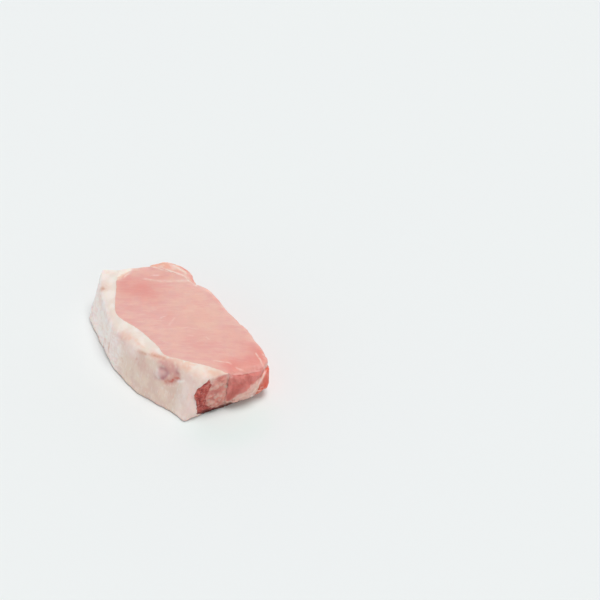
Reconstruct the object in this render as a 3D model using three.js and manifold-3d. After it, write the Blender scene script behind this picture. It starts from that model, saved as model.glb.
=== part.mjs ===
// A raw pork loin medallion, lying flat on its lower cut face.
//
// Millimetres. +X runs along the medallion to its near end, -Y is the side with the fat,
// +Y is the free side of the muscle, and +Z is up. The underside is the plane z = 0.
//
// Each muscle and the fat is a bar: four long corner rails carry a section with rounded
// corners from one end to the other, and both ends close in a shallow dome.

import * as THREE from "three";
import { mergeVertices } from "three/addons/utils/BufferGeometryUtils.js";
import Module from "manifold-3d";

// Thickness of the slice, and how it swells and sinks towards its corners.
const THICKNESS = 22.5;
const SWELLS = [
  { at: [40, -14], spread: [26, 15], rise: 4.5 },
  { at: [54, 14], spread: [18, 16], rise: -2.0 },
  { at: [-2, 8], spread: [24, 12], rise: -0.6 },
];

// Gap left between pieces that touch.
const GAP = 0.3;

// Plan of the upper face, as stations from the far end to the near end.
// The rim is the outer edge of the fat, the seam is where fat meets lean,
// and the flank is the free edge of the lean.
const RIM = [
  [-56, -4.2], [-51, -9.3], [-41, -14.3], [-30.3, -19], [-18.5, -22.5], [-5, -23], [6, -22.8],
  [15, -21], [24, -18], [33, -15.5], [41, -13.5], [43.7, -7], [46, -0.2],
];
const SEAM = [
  [-50.5, 2.4], [-44.7, -3.2], [-37, -8.8], [-26.5, -16.3], [-18.5, -17.2], [-8, -15.3], [1.5, -14.8],
  [10.5, -15.5], [19, -16.4], [28, -12], [34.5, -7.9], [39.5, -4.2], [45.7, 0.35],
];
const FLANK = [
  [-43, 15.8], [-37.5, 19.6], [-28, 24.2], [-18.2, 25.9], [-9.8, 29.7], [-0.8, 29.6], [8.2, 28.1],
  [16.2, 27.5], [25.2, 27.4], [34.4, 25.7], [42.1, 24.2], [47.6, 21.2], [50.9, 16],
];

// How far the lower edge of each side stands from its upper edge, evenly spaced from end to end.
const RIM_SLANT = [[4, -13.8], [3.6, -8.1], [2, -5.0], [0.5, -6.9], [4, -6.8], [-0.7, -8.9], [-2.3, -2.6]];
const SEAM_SLANT = [[1.5, -10.4], [2.5, -5], [5.5, -6.5], [5, -2], [-1.4, -2.5]];
const FLANK_SLANT = [[-1.2, -5.7], [-0.5, -5.4], [0.5, -4.7], [-3.4, -2.4]];

// How far the outer upper edge of the fat is rounded off, evenly spaced from end to end.
const FAT_ROUNDING = [1.4, 2.8, 4.6, 4.6, 3.2, 3.4, 4.6, 4.0, 1.4];
const FAT_FOOT_ROUNDING = 1.5;

// Rounding of the free upper edge of the eye: small where the chine muscle lies against it,
// full along the free flank, and less again at the near end. It changes between the given
// shares of the run.
const EYE_ROUNDING = { covered: 0.5, free: 3.2, near: 1.5 };
const EYE_FREE_FROM = [0.26, 0.36];
const EYE_NEAR_FROM = [0.86, 0.95];
const EYE_FOOT_ROUNDING = 2.2;

// Rounding of the edges where two pieces touch.
const SEAM_ROUNDING = 0.3;

// The chine muscle is a crescent outside the far part of the flank: the share of the flank
// that it covers, and its width from its far tip to its near tip.
const CHINE_SPAN = [0.005, 0.262];
const CHINE_WIDTH = [1.2, 6.0, 7.1, 4.8, 0.9];
const CHINE_LIFT = 0.4;
const CHINE_TOP_ROUNDING = 2.0;
const CHINE_FOOT_ROUNDING = 1.6;

// The corner muscle lies under the near end of the flank and wraps round to the free side.
// The half widths hold on its outer side, and a share of them towards the eye. The lean is how
// far its section moves sideways for each unit of height.
const CORNER_PATH = [[48.6, 13.4], [48.8, 16.4], [46.0, 20.1], [39.2, 21.6], [31.5, 22.2]];
const CORNER_MIDDLE = [8.8, 9.3, 9.3, 9.0, 8.6];
const CORNER_HALF_HEIGHT = [5.0, 6.9, 6.8, 5.6, 3];
const CORNER_HALF_WIDTH = [1.7, 2.3, 2.3, 1.9, 0.9];
const CORNER_LEAN = [[0.15, 0.3], [0.08, 0.1], [0.02, 0.02], [0.12, 0.08], [0.2, 0.12]];
const CORNER_ROUNDING = 9;
const CORNER_INNER_SHARE = 0.6;

// The strip muscle shows as a crescent on the near end face inside the fat, and its back is a
// bowl. The middle line and the half width of the crescent go with height, evenly spaced between
// the two levels. Its outline is a superellipse of the given fullness.
const STRIP_LEVELS = [0.4, 23.3];
const STRIP_LINE = [-9.5, -11.6, -13.4, -14.2, -14.4, -14.2, -14.0, -13.1, -11.7, -10.0, -9.0];
const STRIP_HALF_WIDTH = [6.6, 6.2, 3.1, 2.1, 1.7, 2.1, 2.8, 3.3, 3.7, 2.1, 0.8];
const STRIP_FULLNESS = 3;
const STRIP_DEPTH = 8;
const STRIP_EDGE = 0.5;
const BOWL_POWER = 0.6;
const CUTTER_FRONT = 2;

// Level direction in which the near end face looks, and the share of the rim where it starts.
const END_OUT = [0.965, -0.262];
const END_START = 0.75;

// Half length and half width of the oval that tells the sides from the middle.
const OVAL = [56, 29];

// Lumps of fat on the near end face, and the swollen and sunken places of the fat side.
const LUMPS = [
  { at: [42.6, -6.5, 4.5], spread: 2.6, rise: 0.9 },
  { at: [43.2, -3.2, 9.5], spread: 3.0, rise: 0.7 },
  { at: [42.3, -9.6, 10], spread: 2.4, rise: -0.5 },
  { at: [50.0, 9.0, 13], spread: 5.0, rise: 0.6 },
  { at: [19, -22.3, 14], spread: 3.5, rise: 0.7 },
  { at: [27, -21.5, 9], spread: 4.0, rise: -0.6 },
  { at: [-20, -26, 8], spread: 9.0, rise: 0.7 },
  { at: [-46, -17, 10], spread: 7.0, rise: -0.5 },
  { at: [48, 21.5, 19], spread: 4.0, rise: 1.5 },
  { at: [39, 25, 18], spread: 5.5, rise: 1.2 },
];

// Places at the foot of the near end face that are pressed in, or pushed out below zero.
const FOOT_DENTS = [
  { at: [42.2, -11.5, 0], spread: 5, depth: 1.2 },
  { at: [41.5, -18.5, 0], spread: 3.4, depth: 0.9 },
  { at: [39.3, -23, 0], spread: 2.5, depth: -0.6 },
];

// Waves of the sides: length, depth and phase of each.
const SIDE_WAVES = [
  { length: 31, depth: 0.35, phase: 0.6 },
  { length: 17, depth: 0.2, phase: 2.1 },
];

const FAT_COLOUR = 0xeadfd4;
const LEAN_COLOUR = 0xe3a79d;
const CHINE_COLOUR = 0xdd9083;
const STRIP_COLOUR = 0xae4a44;
const CORNER_COLOUR = 0xd5705f;
const FAT_ROUGHNESS = 0.45;
const LEAN_ROUGHNESS = 0.4;

const wasm = await Module();
wasm.setup();

// Height of the upper face over a point of the plan.
function topHeight(x, y) {
  let height = THICKNESS;
  for (const { at, spread, rise } of SWELLS) {
    const u = (x - at[0]) / spread[0];
    const v = (y - at[1]) / spread[1];
    height += rise * Math.exp(-u * u - v * v);
  }
  return height;
}

// Smooth curve through values or plan points that are evenly spaced in t, from 0 to 1.
function smooth(values, t) {
  const points = values.map((value) => {
    const [x, y = 0] = [value].flat();
    return new THREE.Vector3(x, y, 0);
  });
  return new THREE.CatmullRomCurve3(points, false, "catmullrom", 0.5).getPoint(t);
}

// Upper corner rail of a bar, on the upper face.
function topRail(plan) {
  return (t) => {
    const p = smooth(plan, t);
    return new THREE.Vector3(p.x, p.y, topHeight(p.x, p.y));
  };
}

// Lower corner rail of a bar: the plan moved by its slant, on the floor.
function bottomRail(plan, slant, height = 0) {
  return (t) => {
    const p = smooth(plan, t).add(smooth(slant, t));
    return new THREE.Vector3(p.x, p.y, height);
  };
}

// Level direction of a rail's run at a station.
const RUN_STEP = 0.004;
function runOf(rail, t) {
  return rail(Math.min(t + RUN_STEP, 1)).sub(rail(Math.max(t - RUN_STEP, 0))).setZ(0).normalize();
}

// A rail moved sideways in plan, square to its own run; positive moves to the left of the run.
function shifted(rail, distance) {
  return (t) => {
    const run = runOf(rail, t);
    const far = typeof distance === "function" ? distance(t) : distance;
    return rail(t).add(new THREE.Vector3(-run.y, run.x, 0).multiplyScalar(far));
  };
}

// The stretch of a rail between two shares of its run.
function stretch(rail, [from, to]) {
  return (t) => rail(THREE.MathUtils.lerp(from, to, t));
}

// Section of a bar at one station: straight edges between corners, each corner a parabolic arc.
// An arc takes up no more than the given share of the shorter edge beside it.
const ARC_STEPS = 3;
const MOST_ROUNDING = 0.45;
const MOST_FAT_ROUNDING = 0.85;
function sectionRing(corners, radii, edgeSteps, most) {
  const ring = [];
  corners.forEach((corner, k) => {
    const next = corners[(k + 1) % 4];
    const before = corners[(k + 3) % 4];
    const toNext = next.clone().sub(corner);
    const toBefore = before.clone().sub(corner);
    const shortest = Math.min(toNext.length(), toBefore.length());
    const reach = Math.min(radii[k], most * shortest);
    const nextReach = Math.min(radii[(k + 1) % 4], most * toNext.length());
    toNext.normalize();
    toBefore.normalize();
    const start = corner.clone().addScaledVector(toBefore, reach);
    const end = corner.clone().addScaledVector(toNext, reach);
    const arc = new THREE.QuadraticBezierCurve3(start, corner, end);
    for (let i = 0; i < ARC_STEPS; i++) ring.push(arc.getPoint(i / ARC_STEPS));
    const edgeEnd = next.clone().addScaledVector(toNext, -nextReach);
    for (let i = 0; i < edgeSteps[k]; i++) ring.push(end.clone().lerp(edgeEnd, i / edgeSteps[k]));
  });
  return ring;
}

// Share of a point's offset along each of two directions that need not be square to each other.
function sharesOf(offset, first, second) {
  const mixed = first.dot(second);
  const scale = first.lengthSq() * second.lengthSq() - mixed ** 2;
  const a = offset.dot(first);
  const b = offset.dot(second);
  return [(a * second.lengthSq() - b * mixed) / scale, (b * first.lengthSq() - a * mixed) / scale];
}

// Rings that close one end of a bar. They shrink to the middle of the end section and stand
// out by the dome's depth, in full over the middle and rounding off towards the four edges.
// The easing says how gently they rise from the right edge and from the top edge; towards the
// right edge the rise from the top is as steep as elsewhere.
const ROUNDNESS = 2.3;
const RING_CROWDING = 1.4;
const STEEP = [1 / ROUNDNESS, 1 / ROUNDNESS];
const RIGHT_ZONE = [0.2, 0.9];
function domeRings(ring, corners, outward, depth, rings, easing) {
  const [rightTop, leftTop, leftBottom, rightBottom] = corners;
  const middle = ring.reduce((sum, p) => sum.add(p), new THREE.Vector3()).divideScalar(ring.length);
  const across = rightTop.clone().add(rightBottom).sub(leftTop).sub(leftBottom).divideScalar(4);
  const up = rightTop.clone().add(leftTop).sub(rightBottom).sub(leftBottom).divideScalar(4);
  const fullness = (share) => Math.max(0, 1 - Math.abs(share) ** ROUNDNESS);
  const dome = [];
  for (let i = 1; i <= rings; i++) {
    const size = 1 - (i / rings) ** RING_CROWDING;
    dome.push(
      ring.map((p) => {
        const place = middle.clone().lerp(p, size);
        const [u, v] = sharesOf(place.clone().sub(middle), across, up);
        const atRight = THREE.MathUtils.smoothstep(u, ...RIGHT_ZONE);
        const sidePower = u > 0 ? easing[0] : 1 / ROUNDNESS;
        const topPower = v > 0 ? THREE.MathUtils.lerp(easing[1], 1 / ROUNDNESS, atRight) : 1 / ROUNDNESS;
        const height = fullness(u) ** sidePower * fullness(v) ** topPower;
        return place.addScaledVector(outward, depth * height);
      })
    );
  }
  return dome;
}

// Level direction in which a bar's end section faces, away from the next section.
function endFacing(ring, inner) {
  const facing = new THREE.Vector3();
  ring.forEach((p, i) => facing.add(p.clone().cross(ring[(i + 1) % ring.length])));
  facing.setZ(0).normalize();
  return facing.dot(ring[0].clone().sub(inner[0])) < 0 ? facing.negate() : facing;
}

// How far the sides stand out at a point: waves and lumps, which fade towards the floor.
const FADE_LEVELS = [0.5, 4];
function relief(point) {
  let height = 0;
  for (const { length, depth, phase } of SIDE_WAVES) {
    const turn = (2 * Math.PI) / length;
    const across = turn * (point.x + 0.5 * point.y) + phase;
    height += depth * Math.sin(across) * Math.cos(0.3 * turn * point.z);
  }
  for (const { at, spread, rise } of LUMPS) {
    const away = point.distanceTo(new THREE.Vector3(...at)) / spread;
    height += rise * Math.exp(-away * away);
  }
  return height * THREE.MathUtils.smoothstep(point.z, ...FADE_LEVELS);
}

// How far the foot of the near end face is pressed in at a point.
function dent(point) {
  let total = 0;
  for (const { at, spread, depth } of FOOT_DENTS) {
    const away = point.distanceTo(new THREE.Vector3(...at)) / spread;
    total += depth * Math.exp(-away * away);
  }
  return total;
}

// The point moved level and outwards by the relief, in full at the sides and not in the middle,
// and in by the dents. All pieces bend together, so the gaps between them keep their width.
const SIDE_ZONE = [0.45, 0.85];
function warped(point) {
  const outward = new THREE.Vector3(point.x / OVAL[0], point.y / OVAL[1], 0);
  const share = THREE.MathUtils.smoothstep(outward.length(), ...SIDE_ZONE);
  outward.set(point.x / OVAL[0] ** 2, point.y / OVAL[1] ** 2, 0).normalize();
  const moved = point.clone().addScaledVector(outward, share * relief(point));
  return moved.addScaledVector(new THREE.Vector3(...END_OUT, 0), -dent(point));
}

// Closed surface through a grid of rings; the first and last rings are single points.
function closedSurface(rows) {
  const count = rows[1].length;
  const positions = [];
  const faces = [];
  rows.forEach((row, i) => {
    const pole = i === 0 || i === rows.length - 1;
    (pole ? row.slice(0, 1) : row).forEach((p) => positions.push(p.x, p.y, p.z));
  });
  const at = (i, j) => 1 + (i - 1) * count + (j % count);
  const lastPole = positions.length / 3 - 1;
  for (let j = 0; j < count; j++) {
    faces.push(0, at(1, j), at(1, j + 1));
    for (let i = 1; i < rows.length - 2; i++) {
      faces.push(at(i, j), at(i + 1, j), at(i + 1, j + 1));
      faces.push(at(i, j), at(i + 1, j + 1), at(i, j + 1));
    }
    faces.push(at(rows.length - 2, j), lastPole, at(rows.length - 2, j + 1));
  }
  const geometry = new THREE.BufferGeometry();
  geometry.setAttribute("position", new THREE.Float32BufferAttribute(positions, 3));
  geometry.setIndex(faces);
  return geometry;
}

// A bar: rails in the order right top, left top, left bottom, right bottom, seen along its run.
// Domes and their steps are given for the far end and the near end.
function bar(shape) {
  const { rails, radii, edgeSteps, stations, domes, domeSteps } = shape;
  const { easing = STEEP, most = MOST_ROUNDING } = shape;
  const cornersAt = (t) => rails.map((rail) => rail(t));
  const rings = [];
  for (let i = 0; i < stations; i++) {
    const t = i / (stations - 1);
    const sizes = radii.map((r) => (typeof r === "function" ? r(t) : r));
    rings.push(sectionRing(cornersAt(t), sizes, edgeSteps, most));
  }
  const dome = (ring, next, t) => {
    const facing = endFacing(ring, next);
    return domeRings(ring, cornersAt(t), facing, domes[t], domeSteps[t], easing);
  };
  const start = dome(rings[0], rings[1], 0).reverse();
  const rows = [...start, ...rings, ...dome(rings.at(-1), rings.at(-2), 1)];
  return closedSurface(rows.map((row) => row.map(warped)));
}

// Solid of a closed surface, turned so that its faces point out.
function solidOf(geometry) {
  geometry.deleteAttribute("normal");
  geometry.deleteAttribute("uv");
  const merged = mergeVertices(geometry, 1e-4);
  const vertProperties = merged.attributes.position.array;
  const triVerts = new Uint32Array(merged.index.array);
  return new wasm.Manifold(new wasm.Mesh({ numProp: 3, vertProperties, triVerts }));
}

// Surface of a solid, as a three.js geometry.
function geometryOf(solid) {
  const { vertProperties, triVerts } = solid.getMesh();
  const geometry = new THREE.BufferGeometry();
  geometry.setAttribute("position", new THREE.BufferAttribute(vertProperties, 3));
  geometry.setIndex(new THREE.BufferAttribute(triVerts, 1));
  geometry.computeVertexNormals();
  return geometry;
}

// Named piece with its own material.
function piece(name, geometry, color, roughness) {
  const mesh = new THREE.Mesh(geometry, new THREE.MeshStandardMaterial({ color, roughness, metalness: 0 }));
  mesh.name = name;
  return mesh;
}

// The fat: from the seam out to the rim, wrapping round the near corner to a tip.
function fatBar() {
  const seamTop = shifted(topRail(SEAM), -GAP / 2);
  const seamBottom = shifted(bottomRail(SEAM, SEAM_SLANT), -GAP / 2);
  return bar({
    rails: [topRail(RIM), seamTop, seamBottom, bottomRail(RIM, RIM_SLANT)],
    radii: [(t) => smooth(FAT_ROUNDING, t).x, SEAM_ROUNDING, SEAM_ROUNDING, FAT_FOOT_ROUNDING],
    edgeSteps: [4, 3, 4, 7],
    stations: 46,
    domes: [0.7, 0.3],
    domeSteps: [4, 3],
    most: MOST_FAT_ROUNDING,
  });
}

// The eye of the loin: from the seam across to the free flank.
function eyeBar() {
  const { lerp, smoothstep } = THREE.MathUtils;
  const rounding = (t) => {
    const free = lerp(EYE_ROUNDING.covered, EYE_ROUNDING.free, smoothstep(t, ...EYE_FREE_FROM));
    return lerp(free, EYE_ROUNDING.near, smoothstep(t, ...EYE_NEAR_FROM));
  };
  return bar({
    rails: [
      shifted(topRail(SEAM), GAP / 2),
      topRail(FLANK),
      bottomRail(FLANK, FLANK_SLANT),
      shifted(bottomRail(SEAM, SEAM_SLANT), GAP / 2),
    ],
    radii: [SEAM_ROUNDING, rounding, EYE_FOOT_ROUNDING, SEAM_ROUNDING],
    edgeSteps: [11, 6, 9, 3],
    stations: 46,
    domes: [0.7, 2.7],
    domeSteps: [4, 7],
    easing: [0.55, 1],
  });
}

// The chine muscle: a crescent through the whole thickness, a gap away from the flank.
function chineBar() {
  const width = (t) => smooth(CHINE_WIDTH, t).x;
  const innerTop = shifted(stretch(topRail(FLANK), CHINE_SPAN), GAP);
  const innerBottom = shifted(stretch(bottomRail(FLANK, FLANK_SLANT, CHINE_LIFT), CHINE_SPAN), GAP);
  return bar({
    rails: [innerTop, shifted(innerTop, width), shifted(innerBottom, width), innerBottom],
    radii: [SEAM_ROUNDING, CHINE_TOP_ROUNDING, CHINE_FOOT_ROUNDING, SEAM_ROUNDING],
    edgeSteps: [2, 4, 2, 3],
    stations: 16,
    domes: [0.5, 0.5],
    domeSteps: [2, 2],
  });
}

// The corner muscle: a bar of oval section along its path, grown on every side by a margin.
function cornerLobe(grow) {
  const spine = (t) => smooth(CORNER_PATH, t);
  const corner = (side, level) => (t) => {
    const run = runOf(spine, t);
    const half = smooth(CORNER_HALF_HEIGHT, t).x + grow;
    const share = side > 0 ? CORNER_INNER_SHARE : 1;
    const width = (smooth(CORNER_HALF_WIDTH, t).x * share + grow) * side;
    const tilt = smooth(CORNER_LEAN, t).multiplyScalar(level * half);
    const place = spine(t).add(new THREE.Vector3(-run.y, run.x, 0).multiplyScalar(width)).add(tilt);
    return place.setZ(smooth(CORNER_MIDDLE, t).x + level * half);
  };
  return bar({
    rails: [corner(-1, 1), corner(1, 1), corner(1, -1), corner(-1, -1)],
    radii: Array(4).fill(CORNER_ROUNDING),
    edgeSteps: [1, 3, 1, 3],
    stations: 18,
    domes: [0.3 + grow, 0.6 + grow],
    domeSteps: [3, 2],
  });
}

// x of the near end face at a height over the floor, found by halving the stretch of the rim
// that may hold it. The face is straight from the lower to the upper rim.
const SHORTEST_STRETCH = 1e-6;
function endFace(y, z) {
  const upper = topRail(RIM);
  const lower = bottomRail(RIM, RIM_SLANT);
  const facePoint = (t) => {
    const top = upper(t);
    return lower(t).lerp(top, z / top.z);
  };
  let [low, high] = [END_START, 1];
  while (high - low > SHORTEST_STRETCH) {
    const t = (low + high) / 2;
    if (facePoint(t).y < y) low = t;
    else high = t;
  }
  return facePoint(low).x;
}

// Point of the strip muscle's outline, drawn in to a share of its size, on the end face. The
// growth in height is all at the two ends, so that the outline keeps its waist.
const END_GROWTH = 5;
function stripPoint(share, turn, grow) {
  const [low, high] = STRIP_LEVELS;
  const rounded = (v) => Math.sign(v) * Math.abs(v) ** (2 / STRIP_FULLNESS);
  const level = (1 + share * rounded(Math.sin(turn))) / 2;
  const z = THREE.MathUtils.lerp(low, high, level) + grow * (2 * level - 1) ** END_GROWTH;
  const width = smooth(STRIP_HALF_WIDTH, level).x + grow;
  const y = smooth(STRIP_LINE, level).x + share * width * rounded(Math.cos(turn));
  return new THREE.Vector3(endFace(y, z), y, z);
}

// The strip muscle, grown on every side by a margin: rings from the middle of its face, which
// stands in front of the end face by a distance, out to its rim and down its bowl.
const STRIP_COLUMNS = 44;
const STRIP_FACE_RINGS = 6;
const STRIP_BOWL_RINGS = 7;
function stripBowl(grow, front) {
  const outward = new THREE.Vector3(...END_OUT, 0);
  const rows = [];
  const ring = (share, far) => {
    const row = [];
    for (let j = 0; j < STRIP_COLUMNS; j++) {
      const place = stripPoint(share, (2 * Math.PI * j) / STRIP_COLUMNS, grow);
      row.push(warped(place.addScaledVector(outward, far)));
    }
    rows.push(row);
  };
  for (let i = 0; i <= STRIP_FACE_RINGS; i++) ring(i / STRIP_FACE_RINGS, front);
  for (let i = 0; i <= STRIP_BOWL_RINGS; i++) {
    const share = Math.cos(((Math.PI / 2) * i) / STRIP_BOWL_RINGS);
    ring(share, -STRIP_EDGE - (STRIP_DEPTH + grow) * (1 - share ** 2) ** BOWL_POWER);
  }
  return closedSurface(rows);
}

const fat = solidOf(fatBar()).subtract(solidOf(stripBowl(GAP, CUTTER_FRONT)));
const eye = solidOf(eyeBar()).subtract(solidOf(cornerLobe(GAP)));

const medallion = new THREE.Group();
medallion.name = "pork_loin_medallion";
medallion.add(
  piece("fat_cap", geometryOf(fat), FAT_COLOUR, FAT_ROUGHNESS),
  piece("loin_eye", geometryOf(eye), LEAN_COLOUR, LEAN_ROUGHNESS),
  piece("chine_muscle", chineBar(), CHINE_COLOUR, LEAN_ROUGHNESS),
  piece("corner_muscle", cornerLobe(0), CORNER_COLOUR, LEAN_ROUGHNESS),
  piece("strip_muscle", stripBowl(0, 0), STRIP_COLOUR, LEAN_ROUGHNESS)
);

// The stations are measured from a point near the middle. The pieces are moved in plan so that
// the middle of the whole medallion's bounding box is the origin.
const middle = new THREE.Box3().setFromObject(medallion).getCenter(new THREE.Vector3());
medallion.children.forEach((mesh) => mesh.position.set(-middle.x, -middle.y, 0));

export default medallion;
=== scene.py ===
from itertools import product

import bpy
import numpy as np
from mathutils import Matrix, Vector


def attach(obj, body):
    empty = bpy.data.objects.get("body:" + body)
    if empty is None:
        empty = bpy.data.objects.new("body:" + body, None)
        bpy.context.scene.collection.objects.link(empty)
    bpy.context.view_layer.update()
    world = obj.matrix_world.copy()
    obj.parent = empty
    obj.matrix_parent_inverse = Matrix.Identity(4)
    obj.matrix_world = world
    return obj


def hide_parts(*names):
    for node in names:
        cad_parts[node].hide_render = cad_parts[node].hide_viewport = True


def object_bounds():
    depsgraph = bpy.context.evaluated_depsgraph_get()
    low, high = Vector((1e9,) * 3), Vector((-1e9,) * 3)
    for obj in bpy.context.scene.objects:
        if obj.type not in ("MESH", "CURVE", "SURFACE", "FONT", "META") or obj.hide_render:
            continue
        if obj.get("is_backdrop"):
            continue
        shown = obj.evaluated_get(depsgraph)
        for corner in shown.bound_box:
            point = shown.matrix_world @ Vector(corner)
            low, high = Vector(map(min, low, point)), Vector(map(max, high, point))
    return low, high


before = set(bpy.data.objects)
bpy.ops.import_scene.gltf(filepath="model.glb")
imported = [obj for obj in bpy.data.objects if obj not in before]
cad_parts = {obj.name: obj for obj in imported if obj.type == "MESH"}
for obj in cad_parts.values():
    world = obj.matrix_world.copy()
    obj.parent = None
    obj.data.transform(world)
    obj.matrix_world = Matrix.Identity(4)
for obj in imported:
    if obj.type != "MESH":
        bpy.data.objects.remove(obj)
cad_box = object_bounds()

# A raw pork loin medallion on a pale floor.
#
# All shapes are worked out in millimetres along the slice: +X to its near end, -Y to the side
# with the fat, +Y to the free flank, +Z up. They are moved to the frame of the CAD model and
# turned into metres when a mesh is made.

MM = 0.001
SHIFT = np.array([2.1258, -0.3135, 0.0])

# Shape of the slice

THICKNESS = 22.5
SWELLS = [((40, -14), (26, 15), 4.5), ((54, 14), (18, 16), -2), ((-2, 8), (24, 12), -0.6)]

RIM = [
    (-56, -4.2), (-51, -9.3), (-41, -14.3), (-30.3, -19), (-18.5, -22.5), (-5, -23), (6, -22.8),
    (15, -21), (24, -18), (33, -15.5), (41, -13.5), (43.7, -7), (46, -0.2),
]
SEAM = [
    (-50.5, 2.4), (-44.7, -3.2), (-37, -8.8), (-26.5, -16.3), (-18.5, -17.2), (-8, -15.3),
    (1.5, -14.8), (10.5, -15.5), (19, -16.4), (28, -12), (34.5, -7.9), (39.5, -4.2), (45.95, -0.05),
]
FLANK = [
    (-43, 15.8), (-37.5, 19.6), (-28, 24.2), (-18.2, 25.9), (-9.8, 29.7), (-0.8, 29.6),
    (8.2, 28.1), (16.2, 27.5), (25.2, 27.4), (34.4, 25.7), (42.1, 24.2), (47.6, 21.2), (50.9, 16),
]
RIM_SLANT = [(4, -13.8), (3.6, -8.1), (2, -5), (0.5, -6.9), (4, -6.8), (-0.7, -8.9), (-2.3, -2.6)]
SEAM_SLANT = [(1.5, -10.4), (2.5, -5), (5.5, -6.5), (5, -2), (-2.15, -2.65)]
FLANK_SLANT = [(-1.2, -5.7), (-0.5, -5.4), (0.5, -4.7), (-3.4, -2.4)]

CHINE_SPAN = (0.005, 0.262)
CHINE_WIDTH = [1.2, 6, 7.1, 4.8, 0.9]

CORNER_PATH = [(48.6, 13.4), (48.8, 16.4), (46, 20.1), (39.2, 21.6), (31.5, 22.2)]
CORNER_MIDDLE = [8.8, 9.3, 9.3, 9, 8.6]
CORNER_HALF_HEIGHT = [5, 6.9, 6.8, 5.6, 3]
CORNER_HALF_WIDTH = [1.7, 2.3, 2.3, 1.9, 0.9]
CORNER_LEAN = [(0.15, 0.3), (0.08, 0.1), (0.02, 0.02), (0.12, 0.08), (0.2, 0.12)]
CORNER_INNER_SHARE = 0.6
CORNER_BULGES = [((50.5, 19.5, 9.5), (4.5, 4, 4.2), 1.3), ((48.5, 20.5, 16), (3, 3, 2.5), 0.2)]
CORNER_SHAPE = (CORNER_PATH, CORNER_MIDDLE, CORNER_HALF_HEIGHT, CORNER_HALF_WIDTH, CORNER_LEAN)

# Strip muscle: a crescent on the near end. Its middle line and its half width go with height.
STRIP_LEVELS = (0.1, 23.3)
STRIP_LINE = [-9.5, -11.6, -13.2, -13.7, -13.8, -13.7, -13.6, -12.9, -11.6, -10, -9]
STRIP_WIDTH = [6.6, 6.2, 3.3, 2.6, 2.3, 2.6, 3.2, 3.5, 3.7, 2.1, 0.8]
STRIP_FULLNESS = 3.0
STRIP_DEPTH = 8.5
STRIP_RIM = 0.92
END_OUT = np.array([0.965, -0.262, 0.0])

OVAL = np.array([56.0, 29.0])
LUMPS = [
    ((42.6, -6.5, 4.5), 2.6, 0.9), ((43.2, -3.2, 9.5), 3, 0.7), ((42.3, -9.6, 10), 2.4, -0.5),
    ((50, 9, 13), 5, 0.6), ((19, -22.3, 14), 3.5, 0.7), ((27, -21.5, 9), 4, -0.6),
    ((-20, -26, 8), 9, 0.7), ((-46, -17, 10), 7, -0.5), ((48, 21.5, 19), 4, 1.5),
    ((39, 25, 18), 5.5, 1.2),
]
FOOT_DENTS = [
    ((42.2, -11.5, 0), (5, 4.5, 5), 1.2), ((41.5, -18.5, 0), (3, 3, 5), 0.9),
    ((39.3, -23, 0), (2, 2, 5), -0.3), ((46, -2, 0), (4, 7, 3.5), 0.6), ((49, 8, 0), (4, 6, 3.5), 0.6),
]
FOOT_SWELLS = [((-6, -28.5, 0), (9, 5, 7), 1), ((-20, -27, 0), (8, 5, 7), 0.5)]
SIDE_WAVES = [(31, 0.35, 0.6), (17, 0.2, 2.1)]

# Relief grows from none to full between these distances from the wall at a seam.
WALL_FADE = (0.05, 0.9)
# The corner and strip muscles stay this far above the floor.
FLOOR_GAP = 0.02

# Steps of a corner arc, the largest share of an edge that an arc takes, a sharp corner's radius.
ARC_STEPS = 6
MOST_ROUNDING = 0.45
EDGE = 0.06


# Numbers and curves


def ramp(x, low, high):
    """0 below low, 1 above high, 3 u^2 - 2 u^3 between."""
    u = np.clip((x - low) / (high - low), 0, 1)
    return u * u * (3 - 2 * u)


def smooth(values, t):
    """Catmull-Rom curve through evenly spaced values, t from 0 to 1; one row for each t."""
    p = np.asarray(values, float)
    p = p[:, None] if p.ndim == 1 else p
    p = np.vstack([2 * p[0] - p[1], p, 2 * p[-1] - p[-2]])
    place = np.clip(t, 0, 1) * (len(p) - 3)
    i = np.minimum(place.astype(int), len(p) - 4)
    w = (place - i)[:, None]
    a, b, c, d = p[i], p[i + 1], p[i + 2], p[i + 3]
    return 0.5 * (2 * b + (c - a) * w + (2 * a - 5 * b + 4 * c - d) * w**2 + (3 * b - 3 * c + d - a) * w**3)


def unit(v):
    """Rows divided by their length."""
    return v / np.maximum(np.linalg.norm(v, axis=-1, keepdims=True), 1e-12)


SLOPES = 4096
SEED_STEP = 17.3
NOISE_GAIN = 1.7
HASH_STEPS = (73856093, 19349663, 83492791)
HASH_SEED = 2654435
GRADIENTS = unit(np.random.default_rng(5).normal(size=(SLOPES, 3)))


def noise(points, size, seed=0):
    """Gradient noise, about -1 to 1: at the corners of boxes of the given size stand random
    slopes, and the heights that they give are blended with 6 f^5 - 15 f^4 + 10 f^3."""
    q = points / np.asarray(size, float) + SEED_STEP * seed
    cell = np.floor(q).astype(np.int64)
    f = q - cell
    blend = f**3 * (f * (6 * f - 15) + 10)
    total = np.zeros(len(q))
    for corner in product((0, 1), repeat=3):
        c = cell + corner
        key = np.bitwise_xor.reduce(c * HASH_STEPS, axis=1) ^ (seed * HASH_SEED)
        slope = GRADIENTS[key % SLOPES]
        weight = np.prod(np.where(corner, blend, 1 - blend), axis=1)
        total += weight * np.sum(slope * (f - corner), axis=1)
    return NOISE_GAIN * total


def rough(points, size, seed=0, octaves=3):
    """Noise of a size, plus half as much of half the size, and so on."""
    size = np.asarray(size, float)
    return sum(noise(points, size / 2**k, seed + k) / 2**k for k in range(octaves))


def turned(points, degrees):
    """Points turned about Z by an angle."""
    a = np.radians(degrees)
    c, s = np.cos(a), np.sin(a)
    return points @ np.array([[c, s, 0], [-s, c, 0], [0, 0, 1]])


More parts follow.
